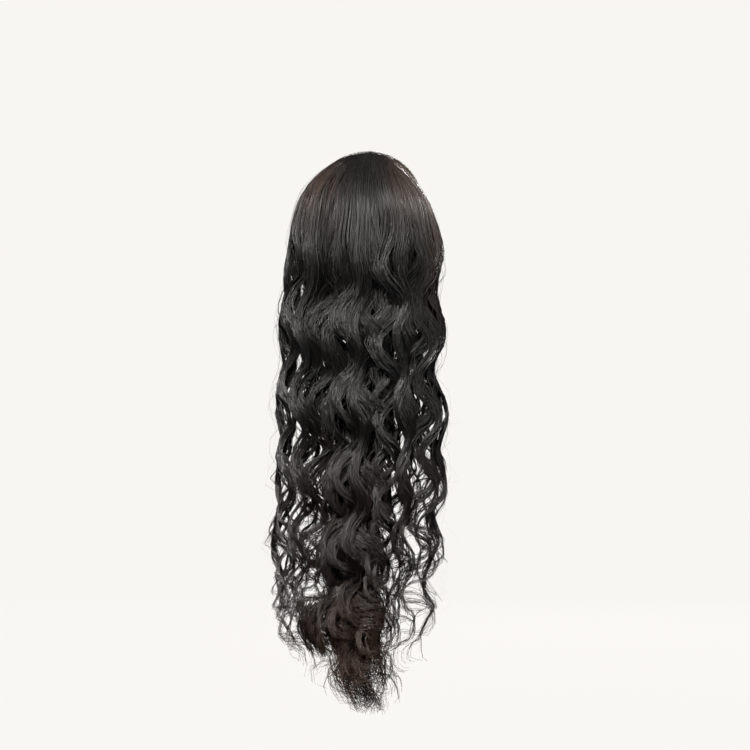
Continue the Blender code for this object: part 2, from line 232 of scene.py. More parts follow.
def clearOfCap(points, clear):
    # moves points that would lie in the cap or its band out to their surface
    across = points[..., 0]
    up = points[..., 1:] @ upWay[1:]
    out = points[..., 1:] @ outWay[1:]
    radius, depth = tail["capRadius"] + clear, tail["capDepth"] + clear
    reach = np.sqrt((across**2 + up**2) / radius**2 + (np.maximum(out, 0) / depth) ** 2)
    grow = np.where((reach < 1) & (out > 0), 1 / np.maximum(reach, 0.05), 1.0)
    across, up, out = across * grow, up * grow, np.where(out > 0, out * grow, out)
    # over the band's corner: forward where that is the shorter way, else outward
    level = np.hypot(across, up)
    bandOut, bandFront = radius + 3.2, tail["bandWidth"] + 1.2
    nearBand = (out < bandFront) & (out > -6) & (level < bandOut) & (level > radius - 6)
    forward = nearBand & (bandFront - out < bandOut - level + 5)
    out = np.where(forward, bandFront, out)
    grow = np.where(nearBand & ~forward, bandOut / np.maximum(level, 1), 1.0)
    across, up = across * grow, up * grow
    moved = up[..., None] * upWay + out[..., None] * outWay
    moved[..., 0] = across
    return moved


# the runs, in mm, over which a strand wanders, hooks, frizzes and closes up towards its tip
runs = {
    "wander": 38, "hook": 9, "frizzAcross": 9, "frizzDeep": 7, "close": 90, "hookFrom": 50, "curlUp": 16,
}


def hairPaths(form, lock, stations):
    # lock holds one value for each strand, as strandTable draws them
    t = 1 - (1 - np.linspace(0, 1, stations)[None, :]) ** 1.2
    column = {key: np.asarray(value, float)[:, None] for key, value in lock.items()}
    clear = column["clear"]
    rootTurn = column["root"]
    radius = tail["capRadius"] + clear
    rootLevel = tail["bandWidth"] + column["rootLevel"]
    ringRadius = radius * np.sqrt(1 - (rootLevel / (tail["capDepth"] + clear)) ** 2)
    root = (ringRadius * np.cos(rootTurn))[..., None] * upWay + rootLevel[..., None] * outWay
    root[..., 0] = ringRadius * np.sin(rootTurn)
    top = column.get("begin", root[..., 2])
    height = top + (column["tip"] - top) * t
    loose = smoothStep(-tail["sleekAbove"], -tail["wavyBelow"], -height)
    curl = smoothStep(260, 460, -height)
    # waves in and out keep nearly one phase round the tail, waves from side to side do not
    turn = math.tau * wavesDown(height) * column["pitch"] + column["phase"]
    turn = turn + column["drift"] * smoothStep(60, 480, -height)
    sway = column["sway"] * loose * (1 + 0.2 * curl + 0.5 * smoothStep(0.8, 1.0, t))
    side = sway * np.sin(turn + column["lag"])
    drawn = np.maximum(loose, 0.6 * smoothStep(10, 70, top - height))
    side = side + column["wander"] * drawn * np.sin(height / runs["wander"] + column["phase"] * 5)
    gather = column["gather"] ** smoothStep(40, column["tight"], -height)
    gather = gather * (1 + 0.25 * loose * np.sin(turn * 0.53 + column["phase"] * 3))
    whole = readForm(form, height, 0 * height)[2]
    tight = 1 - 0.75 * smoothStep(runs["close"], 10, height - column["clumpTip"])
    hold = 1 - 0.5 * smoothStep(40, 260, -height) + 0.7 * smoothStep(290, 470, -height)
    aside = side + column["aside"] * hold + column["own"] * gather * tight
    around = column["around"] + aside / whole
    point, out, _ = readForm(form, height, around)
    lift = sway * (0.6 + 0.3 * curl) * np.cos(turn) + column["deep"] + column["raise"] * gather * tight
    point = point + out * lift[..., None]
    point[..., 2] += sway * (0.2 + 0.2 * curl) * np.sin(2 * (turn + column["lag"]))
    left = np.maximum(height - column["clumpTip"], 0)
    hook = column["hook"] * smoothStep(runs["hookFrom"], 5, left)
    hookTurn = left / runs["hook"] + column["bend"]
    across = np.stack((-out[..., 1], out[..., 0], 0 * height), -1)
    point = point + across * (hook * np.sin(hookTurn))[..., None]
    point = point + out * (hook * np.cos(hookTurn))[..., None]
    point[..., 2] += 0.6 * hook * smoothStep(runs["curlUp"], 0, left)
    frizzX = np.sin(height / runs["frizzAcross"] + column["phase"] * 7)
    frizzY = np.sin(height / runs["frizzDeep"] + column["phase"] * 11)
    frizz = column["frizz"] * loose
    point = point + frizz[..., None] * np.stack((frizzX, frizzY, 0 * height), -1)
    if "begin" in column:
        # these start inside the tail, not on the cap
        return point - out * (column["sink"] * (1 - smoothStep(0, 0.4, t)))[..., None], out, t, height
    leave = smoothStep(0, 1, (root[..., 2] - height) / column["leave"])
    point = root * (1 - leave[..., None]) + point * leave[..., None]
    point = clearOfCap(point, clear)
    # ease the turn from the cap into the hanging tail
    for _ in range(4):
        eased = point.copy()
        eased[:, 1:-1] = (point[:, :-2] + 2 * point[:, 1:-1] + point[:, 2:]) / 4
        share = smoothStep(-60, -20, height)[..., None]
        point = clearOfCap(point * (1 - share) + eased * share, clear)
    return point, out, t, height


def tubeFaces(count, stations, sides):
    # quads of tubes laid side by side in one vertex list, with a cap at each end
    strand = np.arange(count)[:, None, None] * stations * sides
    ring = np.arange(stations - 1)[None, :, None] * sides
    side = np.arange(sides)[None, None, :]
    after = (side + 1) % sides
    quads = np.stack(
        (strand + ring + side, strand + ring + sides + side, strand + ring + sides + after,
         strand + ring + after), -1
    ).reshape(-1, 4)
    first = (np.arange(count) * stations * sides)[:, None] + np.arange(sides)[None, :]
    last = first[:, ::-1] + (stations - 1) * sides
    return quads, first, last


def hairMesh(name, point, out, halfWide, halfThick, sides, tone, warm, twist=0.0):
    # point is (strand, station, xyz) in mm, from the root to the tip
    count, stations = point.shape[:2]
    run = np.gradient(point, axis=1)
    run /= np.maximum(np.linalg.norm(run, axis=-1, keepdims=True), 1e-6)
    flat = np.cross(run, out)
    flat /= np.maximum(np.linalg.norm(flat, axis=-1, keepdims=True), 1e-6)
    face = np.cross(flat, run)
    turned = np.asarray(twist)[..., None]
    cosine, sine = np.cos(turned), np.sin(turned)
    flat, face = flat * cosine + face * sine, face * cosine - flat * sine
    corner = math.tau * (np.arange(sides) + 0.25) / sides
    ring = (
        flat[:, :, None, :] * (np.cos(corner)[None, None, :] * halfWide[..., None])[..., None]
        + face[:, :, None, :] * (np.sin(corner)[None, None, :] * halfThick[..., None])[..., None]
    )
    places = (point[:, :, None, :] + ring).reshape(-1, 3) * mm
    quads, first, last = tubeFaces(count, stations, sides)
    loops = np.concatenate((quads.ravel(), first.ravel(), last.ravel()))
    starts = np.concatenate((np.arange(len(quads)) * 4, len(quads) * 4 + np.arange(2 * count) * sides))
    mesh = bpy.data.meshes.new(name)
    mesh.vertices.add(len(places))
    mesh.vertices.foreach_set("co", places.ravel())
    mesh.loops.add(len(loops))
    mesh.loops.foreach_set("vertex_index", loops)
    mesh.polygons.add(len(starts))
    mesh.polygons.foreach_set("loop_start", starts)
    mesh.update(calc_edges=True)
    # u runs round the strand, with each strand on its own stretch, and v along it in metres
    steps = np.linalg.norm(np.diff(point, axis=1), axis=-1)
    length = np.concatenate((np.zeros((count, 1)), np.cumsum(steps, axis=1)), axis=1) * mm
    ownStretch = np.arange(count) * 0.137 % 7.0
    roundIt = np.arange(sides)[None, None, :] / sides * 0.05
    u = ownStretch[:, None, None] + roundIt + 0 * length[..., None]
    v = np.repeat(length[:, :, None], sides, axis=2)
    flatUv = np.stack((u, v), -1).reshape(-1, 2)
    layer = mesh.uv_layers.new(name="strand")
    layer.data.foreach_set("uv", flatUv[loops].ravel())
    for label, values in (("tone", tone), ("warm", warm)):
        attribute = mesh.attributes.new(label, "FLOAT", "POINT")
        full = np.repeat(np.broadcast_to(values, (count, stations))[:, :, None], sides, axis=2)
        attribute.data.foreach_set("value", full.astype(np.float32).ravel())
    mesh.shade_smooth()
    mesh.validate()
    return newObject(name, mesh)


# streaks are across a strand and ripples along it; contrast and shade turn them into light and dark
hairFinish = {
    "dark": (0.0005, 0.00045, 0.0004), "light": (0.0125, 0.0107, 0.0095), "brown": (0.06, 0.031, 0.02),
    "streaks": 110, "ripples": 9, "contrast": 1.5, "shade": 0.85, "dullest": 0.2, "glossiest": 0.06,
    "bump": 0.6, "bumpHeight": 0.0006,
}


def hairMaterial(name, streaked, specular, roughness):
    # brighter strands are also glossier; the deep layers get a low specular and stay black, a painted
    # shade
    finish = bpy.data.materials.new(name)
    finish.use_nodes = True
    tree = finish.node_tree
    shader = tree.nodes["Principled BSDF"]
    shader.inputs["Specular IOR Level"].default_value = specular
    tone = tree.nodes.new("ShaderNodeAttribute")
    tone.attribute_name = "tone"
    warm = tree.nodes.new("ShaderNodeAttribute")
    warm.attribute_name = "warm"
    where = tree.nodes.new("ShaderNodeUVMap")
    where.uv_map = "strand"
    stretch = tree.nodes.new("ShaderNodeMapping")
    stretch.inputs["Scale"].default_value = (hairFinish["streaks"], hairFinish["ripples"], 1)
    tree.links.new(where.outputs["UV"], stretch.inputs["Vector"])
    streak = tree.nodes.new("ShaderNodeTexNoise")
    streak.noise_dimensions = "2D"
    streak.inputs["Scale"].default_value = 1.0
    streak.inputs["Detail"].default_value = 3
    tree.links.new(stretch.outputs["Vector"], streak.inputs["Vector"])
    share = tree.nodes.new("ShaderNodeMath")
    share.operation = "MULTIPLY_ADD"
    share.inputs[1].default_value = hairFinish["contrast"]
    tree.links.new(streak.outputs["Fac"], share.inputs[0])
    lower = tree.nodes.new("ShaderNodeMath")
    lower.operation = "SUBTRACT"
    lower.inputs[1].default_value = hairFinish["shade"]
    tree.links.new(tone.outputs["Fac"], lower.inputs[0])
    tree.links.new(lower.outputs["Value"], share.inputs[2])
    greys = tree.nodes.new("ShaderNodeMix")
    greys.data_type = "RGBA"
    greys.inputs["A"].default_value = (*hairFinish["dark"], 1)
    greys.inputs["B"].default_value = (*hairFinish["light"], 1)
    tree.links.new(share.outputs["Value"], greys.inputs["Factor"])
    browns = tree.nodes.new("ShaderNodeMix")
    browns.data_type = "RGBA"
    browns.inputs["B"].default_value = (*hairFinish["brown"], 1)
    tree.links.new(warm.outputs["Fac"], browns.inputs["Factor"])
    tree.links.new(greys.outputs["Result"], browns.inputs["A"])
    tree.links.new(browns.outputs["Result"], shader.inputs["Base Color"])
    rough = tree.nodes.new("ShaderNodeMapRange")
    rough.inputs["To Min"].default_value = roughness + hairFinish["dullest"]
    rough.inputs["To Max"].default_value = roughness - hairFinish["glossiest"]
    tree.links.new(share.outputs["Value"], rough.inputs["Value"])
    tree.links.new(rough.outputs["Result"], shader.inputs["Roughness"])
    if streaked:
        bump = tree.nodes.new("ShaderNodeBump")
        bump.inputs["Strength"].default_value = hairFinish["bump"]
        bump.inputs["Distance"].default_value = hairFinish["bumpHeight"]
        tree.links.new(streak.outputs["Fac"], bump.inputs["Height"])
        tree.links.new(bump.outputs["Normal"], shader.inputs["Normal"])
    return finish


lockFinish = hairMaterial("streaked off black hair", True, 0.44, 0.3)
strandFinish = hairMaterial("fine off black hair", False, 0.55, 0.28)
# the copies for the deep layers have a low specular and more roughness: painted shade, so the hidden hair
# stays dark
paintedShadeLockFinish = hairMaterial("shaded black hair", True, 0.12, 0.5)
paintedShadeStrandFinish = hairMaterial("fine shaded black hair", False, 0.35, 0.36)
deepLayers = ("middle", "core", "under")

# Groups are gathered locks, each of a few clumps of strands. Around is a share of the way round the
# tail and deep is in mm off its surface. Begin, tips and sink are for hair that starts inside the tail.
locks = {
    "outer": {
        "groups": 26, "clumps": 5, "strands": 14, "around": (-0.74, 0.74), "root": 78, "deep": (-7.0, 4.0),
        "leave": 34, "form": "outer", "sway": 10.0, "stations": 47, "half": (1.0, 2.4),
        "fine": (0.25, 0.5), "aside": 7.0, "round": 3.5, "clear": 1.0,
    },
    "middle": {
        "groups": 16, "clumps": 4, "strands": 4, "around": (-0.76, 0.76), "root": 98, "deep": (-14, -7),
        "leave": 40, "form": "outer", "sway": 8.5, "stations": 44, "half": (1.6, 3.0),
        "fine": (0.4, 0.7), "aside": 8.0, "round": 3, "clear": 0.6,
    },
    "core": {
        "groups": 34, "clumps": 1, "strands": 0, "around": (-0.78, 0.78), "root": 90, "deep": (-22, -15),
        "form": "outer", "sway": 4.0, "stations": 36, "half": (6.0, 8.0), "thin": 0.25, "sides": 6,
        "aside": 2.0, "round": 0, "hook": (0, 1), "clear": 1.0, "begin": (-60, -32), "sink": 0,
    },
    "ends": {
        "groups": 14, "clumps": 4, "strands": 10, "around": (-0.16, 0.12), "root": 90, "deep": (-18, -3),
        "form": "outer", "sway": 5.5, "stations": 24, "half": (0.9, 1.8), "fine": (0.25, 0.45),
        "aside": 6.0, "round": 3, "hook": (1.5, 4.0), "clear": 1.0, "begin": (-350, -250),
        "tips": (-512, -450), "sink": 14,
    },
    "tuft": {
        "groups": 3, "clumps": 5, "strands": 14, "around": (-0.31, -0.22), "root": 90, "deep": (-9, -3),
        "form": "outer", "sway": 4.0, "stations": 16, "half": (0.6, 1.0), "fine": (0.25, 0.4),
        "aside": 7.0, "round": 5, "hook": (3.0, 5.0), "clear": 1.0, "begin": (-425, -398),
        "tips": (-460, -444), "sink": 8,
    },
    "stray": {
        "groups": 90, "clumps": 1, "strands": 0, "around": (-0.7, 0.7), "root": 90, "deep": (2, 8),
        "leave": 50, "form": "outer", "sway": 9.0, "stations": 50, "half": (0.16, 0.28), "sides": 3,
        "aside": 12.0, "round": 0, "clear": 3.0,
    },
    "under": {
        "groups": 18, "clumps": 4, "strands": 4, "around": (0.52, 1.48), "root": 0, "deep": (-3, 2.5),
        "leave": 46, "form": "under", "sway": 8.0, "stations": 44, "half": (1.4, 2.6),
        "fine": (0.4, 0.7), "aside": 7.0, "round": 3, "clear": 0.8,
    },
}
# how much shorter a clump may be than its group, in mm, and how often
shorter = (0, 25, 50, 90, 130, 180)
shorterOften = (0.14, 0.10, 0.14, 0.20, 0.22, 0.20)


def slowField(dice, place, turns, size):
    # a smooth random value for each place round the tail
    total = 0 * place
    for k in range(1, turns + 1):
        total = total + dice.normal() * np.sin(k * math.pi * place + dice.uniform(0, math.tau))
    return size * total / math.sqrt(turns / 2)


def strandTable(name, seed):
    # one value of each kind for every clump and for every strand; the order of the draws matters
    plan = locks[name]
    dice = np.random.default_rng(seed)
    groups = plan["groups"]
    clumps = groups * plan["clumps"]
    total = clumps * plan["strands"]
    low, high = plan["around"]
    place = low + (high - low) * (np.arange(groups) + 0.5) / groups
    place = place + dice.uniform(-0.45, 0.45, groups) * (high - low) / groups
    if name in ("outer", "middle"):
        # closer together in front
        place = high * np.sign(place) * np.abs(place / high) ** 1.5
    if name == "under":
        near = np.abs(place - 1) < 0.49
        root = np.where(near, math.pi + (place - 1) * math.radians(150), math.pi * place)
        side = np.full(groups, 0.6)
    else:
        root = place / high * math.radians(plan["root"]) * dice.uniform(0.6, 1.1, groups)
        side = np.clip(np.abs(place) / 0.7, 0, 1)
    short = dice.choice(shorter, clumps, p=shorterOften)
    flank = np.repeat(side, plan["clumps"])
    short = short * (0.5 + 0.7 * smoothStep(0.1, 0.55, flank))
    if name == "middle":
        short = short + 40 + 130 * smoothStep(0.25, 0.6, flank)
    if name == "under":
        short = short + 130 * smoothStep(0.08, 0.3, np.repeat(np.abs(place - 1), plan["clumps"]))
    if name == "core":
        short = 70 + 300 * smoothStep(0.08, 0.3, np.abs(place)) + dice.uniform(0, 40, clumps)
    fault = dice.choice([0.0, 1.6, -1.6], groups, p=[0.8, 0.1, 0.1])
    lagAround = -1.5 + 3.0 * smoothStep(0.12, 0.28, place)
    byGroup = {
        "around": place, "root": root, "deep": dice.uniform(*plan["deep"], groups),
        "phase": -0.5 + slowField(dice, place, 4, 0.5) + dice.normal(0, 0.6, groups),
        "drift": dice.normal(0, 0.7, groups),
        "sway": plan["sway"] * dice.uniform(0.6, 1.35, groups),
        "tip": -510 + 45 * side**1.5 + dice.uniform(0, 15, groups),
        "lag": lagAround + slowField(dice, place, 5, 0.8) + fault,
        "wander": dice.uniform(0, 4.5, groups),
        "pitch": 1 + dice.normal(0, 0.025, groups),
        "gather": dice.uniform(0.15, 0.36, groups), "tight": 370 - 180 * side**2,
    }
    driftMore = 1 + 1.6 * flank
    byClump = {
        "aside": dice.uniform(-1, 1, clumps) * plan["aside"], "raise": dice.uniform(-3.0, 3.0, clumps),
        "phase": dice.normal(0, 0.13, clumps), "lag": dice.normal(0, 0.15, clumps),
        "drift": dice.normal(0, 0.35, clumps) * driftMore * dice.choice([1, 3], clumps, p=[0.8, 0.2]),
        "tip": short + dice.uniform(0, 30, clumps), "bend": dice.uniform(0, math.tau, clumps),
        "hook": dice.uniform(*plan.get("hook", (2.5, 7.0)), clumps),
    }
    table = {key: np.repeat(value, plan["clumps"]) for key, value in byGroup.items()}
    for key, value in byClump.items():
        table[key] = table.get(key, 0) + value
    table["clumpTip"] = table["tip"]
    many = {key: np.repeat(value, plan["strands"]) for key, value in table.items()}
    for column, count in ((table, clumps), (many, total)):
        rootAngle = np.degrees(column["root"])
        # hair starts higher up the dome over a bare patch in front and along the right edge
        patch = smoothStep(-34, -18, rootAngle) * smoothStep(8, -4, rootAngle)
        edge = smoothStep(0, 10, rootAngle) * smoothStep(75, 55, rootAngle)
        level = dice.uniform(1.5, 9, count) + (8 if name == "core" else 0)
        level = level + tail["barePatch"] * patch + tail["bareEdge"] * edge
        column["rootLevel"] = np.minimum(level, 26)
        if "leave" in plan:
            column["leave"] = plan["leave"] * np.where(column["root"] < -0.2, 0.5, 1.0)
        column["frizz"] = dice.uniform(0.1, 0.8, count) * (3 if name == "stray" else 1)
    many["root"] = many["root"] + dice.normal(0, 0.06, total)
    many["own"] = dice.normal(0, 2.2, total)
    table["own"] = np.zeros(clumps)
    many["raise"] = many["raise"] + dice.normal(0, 1.0, total) + 0.5
    # a group is a rounded bundle, so neighbours meet in a crease
    for column in (table, many):
        roundness = np.sqrt(np.clip(1 - (column["aside"] / (plan["aside"] + 3)) ** 2, 0, 1))
        column["raise"] = column["raise"] * 0.5 + plan["round"] * roundness
    if "begin" in plan:
        for column, count in ((table, clumps), (many, total)):
            column["begin"] = dice.uniform(*plan["begin"], count)
            column["lag"] = column["lag"] + dice.normal(0, 0.8, count)
            column["sink"] = np.full(count, float(plan["sink"]))
            if "tips" in plan:
                low, high = plan["tips"]
                column["tip"] = low + (high - low) * dice.uniform(0, 1, count) ** 1.5
                column["clumpTip"] = column["tip"]
                column["frizz"] = column["frizz"] * 1.6
    if "tips" not in plan:
        many["tip"] = np.maximum(many["tip"] + dice.uniform(-6, 30, total), -514)
    table["clear"] = np.full(clumps, float(plan["clear"]))
    many["clear"] = plan["clear"] + dice.uniform(0.4, 2.0, total)
    many["phase"] = many["phase"] + dice.normal(0, 0.13, total)
    many["drift"] = many["drift"] + dice.normal(0, 0.15, total)
    table["raise"] = table["raise"] - 0.5
    return table, many, dice


def warmth(point):
    # browner at the flanks of the crown, along the right side and towards the tips
    x, z = point[..., 0], point[..., 2]
    flank = smoothStep(12, 45, np.abs(x + 4)) * smoothStep(-50, 20, z)
    right = smoothStep(48, 72, x) * smoothStep(-160, -40, z)
    tips = smoothStep(350, 480, -z) * (0.4 + 0.6 * smoothStep(60, 15, np.abs(x + 8)))
    low = 0.2 * smoothStep(200, 340, -z)
    return np.clip(0.6 * flank + 0.4 * right + low + tips, 0, 1)


dressing = {"flat": 0.35, "mostTriangles": 190000, "strandSides": 3}


def dressLayer(name, seed, node):
    # locks as flat tubes, with fine strands over them, as one mesh or a few
    plan = locks[name]
    form = layerForm(tail[plan["form"]])
    table, many, dice = strandTable(name, seed)
    count, total = len(table["around"]), len(many["around"])
    point, out, t, height = hairPaths(form, table, plan["stations"])
    thin = plan.get("thin", 0.5)
    taper = (thin + (1 - thin) * smoothStep(0.0, 0.15, t)) * (1 - 0.88 * smoothStep(0.4, 0.95, t))
    half = dice.uniform(*plan["half"], count)[:, None] * taper
    tone = dice.uniform(0.0, 0.5, count)[:, None]
    twist = 0.5 * np.sin(height / 31 + table["phase"][:, None] * 2) * smoothStep(0, 120, -height)
    warm = warmth(point) * dice.uniform(0.3, 1.0, count)[:, None]
    sides = plan.get("sides", 4)
    made = [hairMesh(name + "Locks", point, out, half, half * dressing["flat"], sides, tone, warm, twist)]
    # the deep layers take the low-specular copies, a painted shade
    setMaterial(made[0], paintedShadeLockFinish if name in deepLayers else lockFinish)
    if total:
        # fine strands ride with each lock, a little off it
        point, out, t, height = hairPaths(form, many, plan["stations"])
        half = dice.uniform(*plan["fine"], total)[:, None] * (1 - 0.65 * smoothStep(0.7, 1.0, t))
        tone = dice.uniform(0.0, 1.0, total)[:, None] ** 2
        warm = warmth(point) * dice.uniform(0.2, 1.0, total)[:, None]
        triangles = total * plan["stations"] * 2 * dressing["strandSides"]
        parts = max(1, math.ceil(triangles / dressing["mostTriangles"]))
        for k in range(parts):
            pick = slice(k * total // parts, (k + 1) * total // parts)
            piece = hairMesh(
                f"{name}Strands{k + 1}", point[pick], out[pick], half[pick], half[pick],
                dressing["strandSides"], tone[pick], warm[pick],
            )
            # the deep layers take the low-specular copies, a painted shade
            setMaterial(piece, paintedShadeStrandFinish if name in deepLayers else strandFinish)
            made.append(piece)
    for piece in made:
        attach(piece, "root")
        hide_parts(node)
    print(name, "layer:", count, "locks and", total, "strands in", len(made), "pieces")


for layerName, layerSeed in (
    ("outer", 11), ("middle", 23), ("core", 29), ("ends", 41), ("tuft", 43), ("stray", 31),
):
    dressLayer(layerName, layerSeed, "hair_outer_layer")
dressLayer("under", 37, "hair_under_layer")

seat = Matrix.Rotation(math.radians(90) - lean, 4, "X")  # rim level 0, crown along its +Z
cap = {
    "radius": 51, "depth": 36, "wall": 1.2, "steps": 96, "threads": 40, "threadTurn": 1.2, "wefts": 6,
    "fuzz": 140, "net": (0.24, 0.238, 0.233), "weft": (0.03, 0.028, 0.026),
}


def domeRadius(radius, depth, level):
    return radius * np.sqrt(np.maximum(0, 1 - (np.asarray(level, float) / depth) ** 2))


def placed(points):
    # from the cap's own frame to the shared one, in mm
    turn = np.array(seat.to_3x3())
    return np.asarray(points, float) @ turn.T


def joined(name, pieces):
    # one mesh from several, each keeping its own attributes
    shape = bmesh.new()
    for piece in pieces:
        shape.from_mesh(piece.data)
        mesh = piece.data
        bpy.data.objects.remove(piece)
        bpy.data.meshes.remove(mesh)
    mesh = bpy.data.meshes.new(name)
    shape.to_mesh(mesh)
    shape.free()
    mesh.shade_smooth()
    return newObject(name, mesh)


def threads(name, lines, radius, tone, sides=4):
    # lines is (thread, station, xyz) in the cap's frame
    points = placed(lines)
    outward = points / np.linalg.norm(points, axis=-1, keepdims=True)
    half = np.full(points.shape[:2], float(radius))
    return hairMesh(name, points, outward, half, half, sides, tone, 0.0)


def clothMaterial(name, dark, light, scale, roughness, depth):
    finish = bpy.data.materials.new(name)
    finish.use_nodes = True
    tree = finish.node_tree
    shader = tree.nodes["Principled BSDF"]
    shader.inputs["Roughness"].default_value = roughness
    where = tree.nodes.new("ShaderNodeTexCoord")
    tone = tree.nodes.new("ShaderNodeAttribute")
    tone.attribute_name = "tone"
    weave = tree.nodes.new("ShaderNodeTexNoise")
    weave.inputs["Scale"].default_value = scale
    weave.inputs["Detail"].default_value = 4
    tree.links.new(where.outputs["Object"], weave.inputs["Vector"])
    mix = tree.nodes.new("ShaderNodeMix")
    mix.data_type = "RGBA"
    mix.inputs["A"].default_value = (*dark, 1)
    mix.inputs["B"].default_value = (*light, 1)
    tree.links.new(tone.outputs["Fac"], mix.inputs["Factor"])
    worn = tree.nodes.new("ShaderNodeMix")
    worn.data_type = "RGBA"
    worn.blend_type = "MULTIPLY"
    worn.inputs["Factor"].default_value = 0.6
    tree.links.new(mix.outputs["Result"], worn.inputs["A"])
    spread = tree.nodes.new("ShaderNodeMapRange")
    spread.inputs["From Min"].default_value = 0.3
    spread.inputs["From Max"].default_value = 0.7
    spread.inputs["To Min"].default_value = 0.55
    tree.links.new(weave.outputs["Fac"], spread.inputs["Value"])
    tree.links.new(spread.outputs["Result"], worn.inputs["B"])
    tree.links.new(worn.outputs["Result"], shader.inputs["Base Color"])
    bump = tree.nodes.new("ShaderNodeBump")
    bump.inputs["Strength"].default_value = depth
    bump.inputs["Distance"].default_value = 0.0004
    tree.links.new(weave.outputs["Fac"], bump.inputs["Height"])
    tree.links.new(bump.outputs["Normal"], shader.inputs["Normal"])
    return finish


def setTone(mesh, value):
    attribute = mesh.attributes.new("tone", "FLOAT", "POINT")
    attribute.data.foreach_set("value", np.full(len(mesh.vertices), value, np.float32))


def capShell():
    shape = bmesh.new()
    inner, innerDepth = cap["radius"] - cap["wall"], cap["depth"] - cap["wall"]
    angles = np.linspace(0, math.pi / 2, 19)
    outline = [(cap["radius"] * math.sin(a), cap["depth"] * math.cos(a)) for a in angles]
    outline += [(inner * math.cos(a), innerDepth * math.sin(a)) for a in angles]
    chain = [shape.verts.new((max(r, 0) * mm, 0, max(level, 0) * mm)) for r, level in outline]
    edges = [shape.edges.new(pair) for pair in zip(chain, chain[1:])]
    bmesh.ops.spin(
        shape, geom=chain + edges, cent=(0, 0, 0), axis=(0, 0, 1), dvec=(0, 0, 0),
        angle=math.tau, steps=cap["steps"], use_merge=True,
    )
    bmesh.ops.remove_doubles(shape, verts=shape.verts, dist=0.00001)
    bmesh.ops.transform(shape, matrix=seat, verts=shape.verts)
    bmesh.ops.recalc_face_normals(shape, faces=shape.faces)
    mesh = bpy.data.meshes.new("capShell")
    shape.to_mesh(mesh)
    shape.free()
    setTone(mesh, 0.75)
    return newObject("capShell", mesh)


def spiral(turnFrom, sweep, lift, low, high, stations):
    # a thread over the dome from level low to level high
    share = np.linspace(0, 1, stations)
    level = low + (high - low) * share
    radius = domeRadius(cap["radius"] + lift, cap["depth"] + lift, level)
    turn = turnFrom + sweep * share**2
    return np.stack((radius * np.sin(turn), radius * np.cos(turn), level), -1)


def ring(radius, level, wave, count, stations):
    # a closed thread round the dome, with count waves up and down
    turn = np.linspace(0, math.tau, stations)
    up = level + wave * np.sin(turn * count)
    return np.stack((radius * np.sin(turn), radius * np.cos(turn), up), -1)


def makeCap():
    starts = np.arange(cap["threads"]) * math.tau / cap["threads"]
    net = [spiral(a, way * cap["threadTurn"], 0.05, 7, 33, 22) for a in starts for way in (-1, 1)]
    wefts, stitches = [], []
    for level in np.linspace(6, 29, cap["wefts"]):
        inside = domeRadius(cap["radius"] - cap["wall"], cap["depth"] - cap["wall"], level)
        wefts.append(ring(inside - 0.5, level, 0, 0, 120))
        stitches.append(ring(inside - 1.1, level, 0.8, 60, 361))
    dice = np.random.default_rng(5)
    fuzz = []
    for _ in range(cap["fuzz"]):
        turn, level = dice.uniform(-0.52, 0.05), dice.uniform(8, 24)
        steps = level + np.linspace(0, dice.uniform(3, 7), 5)
        radius = domeRadius(cap["radius"] + 0.3, cap["depth"] + 0.3, steps)
        radius = radius + np.linspace(0.5, dice.uniform(1.5, 3.4), 5)
        turns = turn + np.linspace(0, dice.normal(0, 0.05), 5)
        fuzz.append(np.stack((radius * np.sin(turns), radius * np.cos(turns), steps), -1))
    parts = [
        capShell(),
        threads("fuzz", np.array(fuzz), 0.17, 1.0, 3),
        threads("net", np.array(net), 0.22, 0.9),
        threads("wefts", np.array(wefts), 0.9, 0.0, 6),
        threads("stitches", np.array(stitches), 0.18, 0.25, 3),
    ]
    piece = joined("netCap", parts)
    setMaterial(piece, clothMaterial("cap net", cap["weft"], cap["net"], 900, 0.75, 0.6))
    return piece


band = {
    "inside": 49.1, "outside": 51.4, "thick": 2.2, "width": 8, "gathers": 84, "rise": 0.8,
    "seams": (0.22, 0.72), "colour": (0.15, 0.148, 0.145), "thread": (0.28, 0.277, 0.27),
}


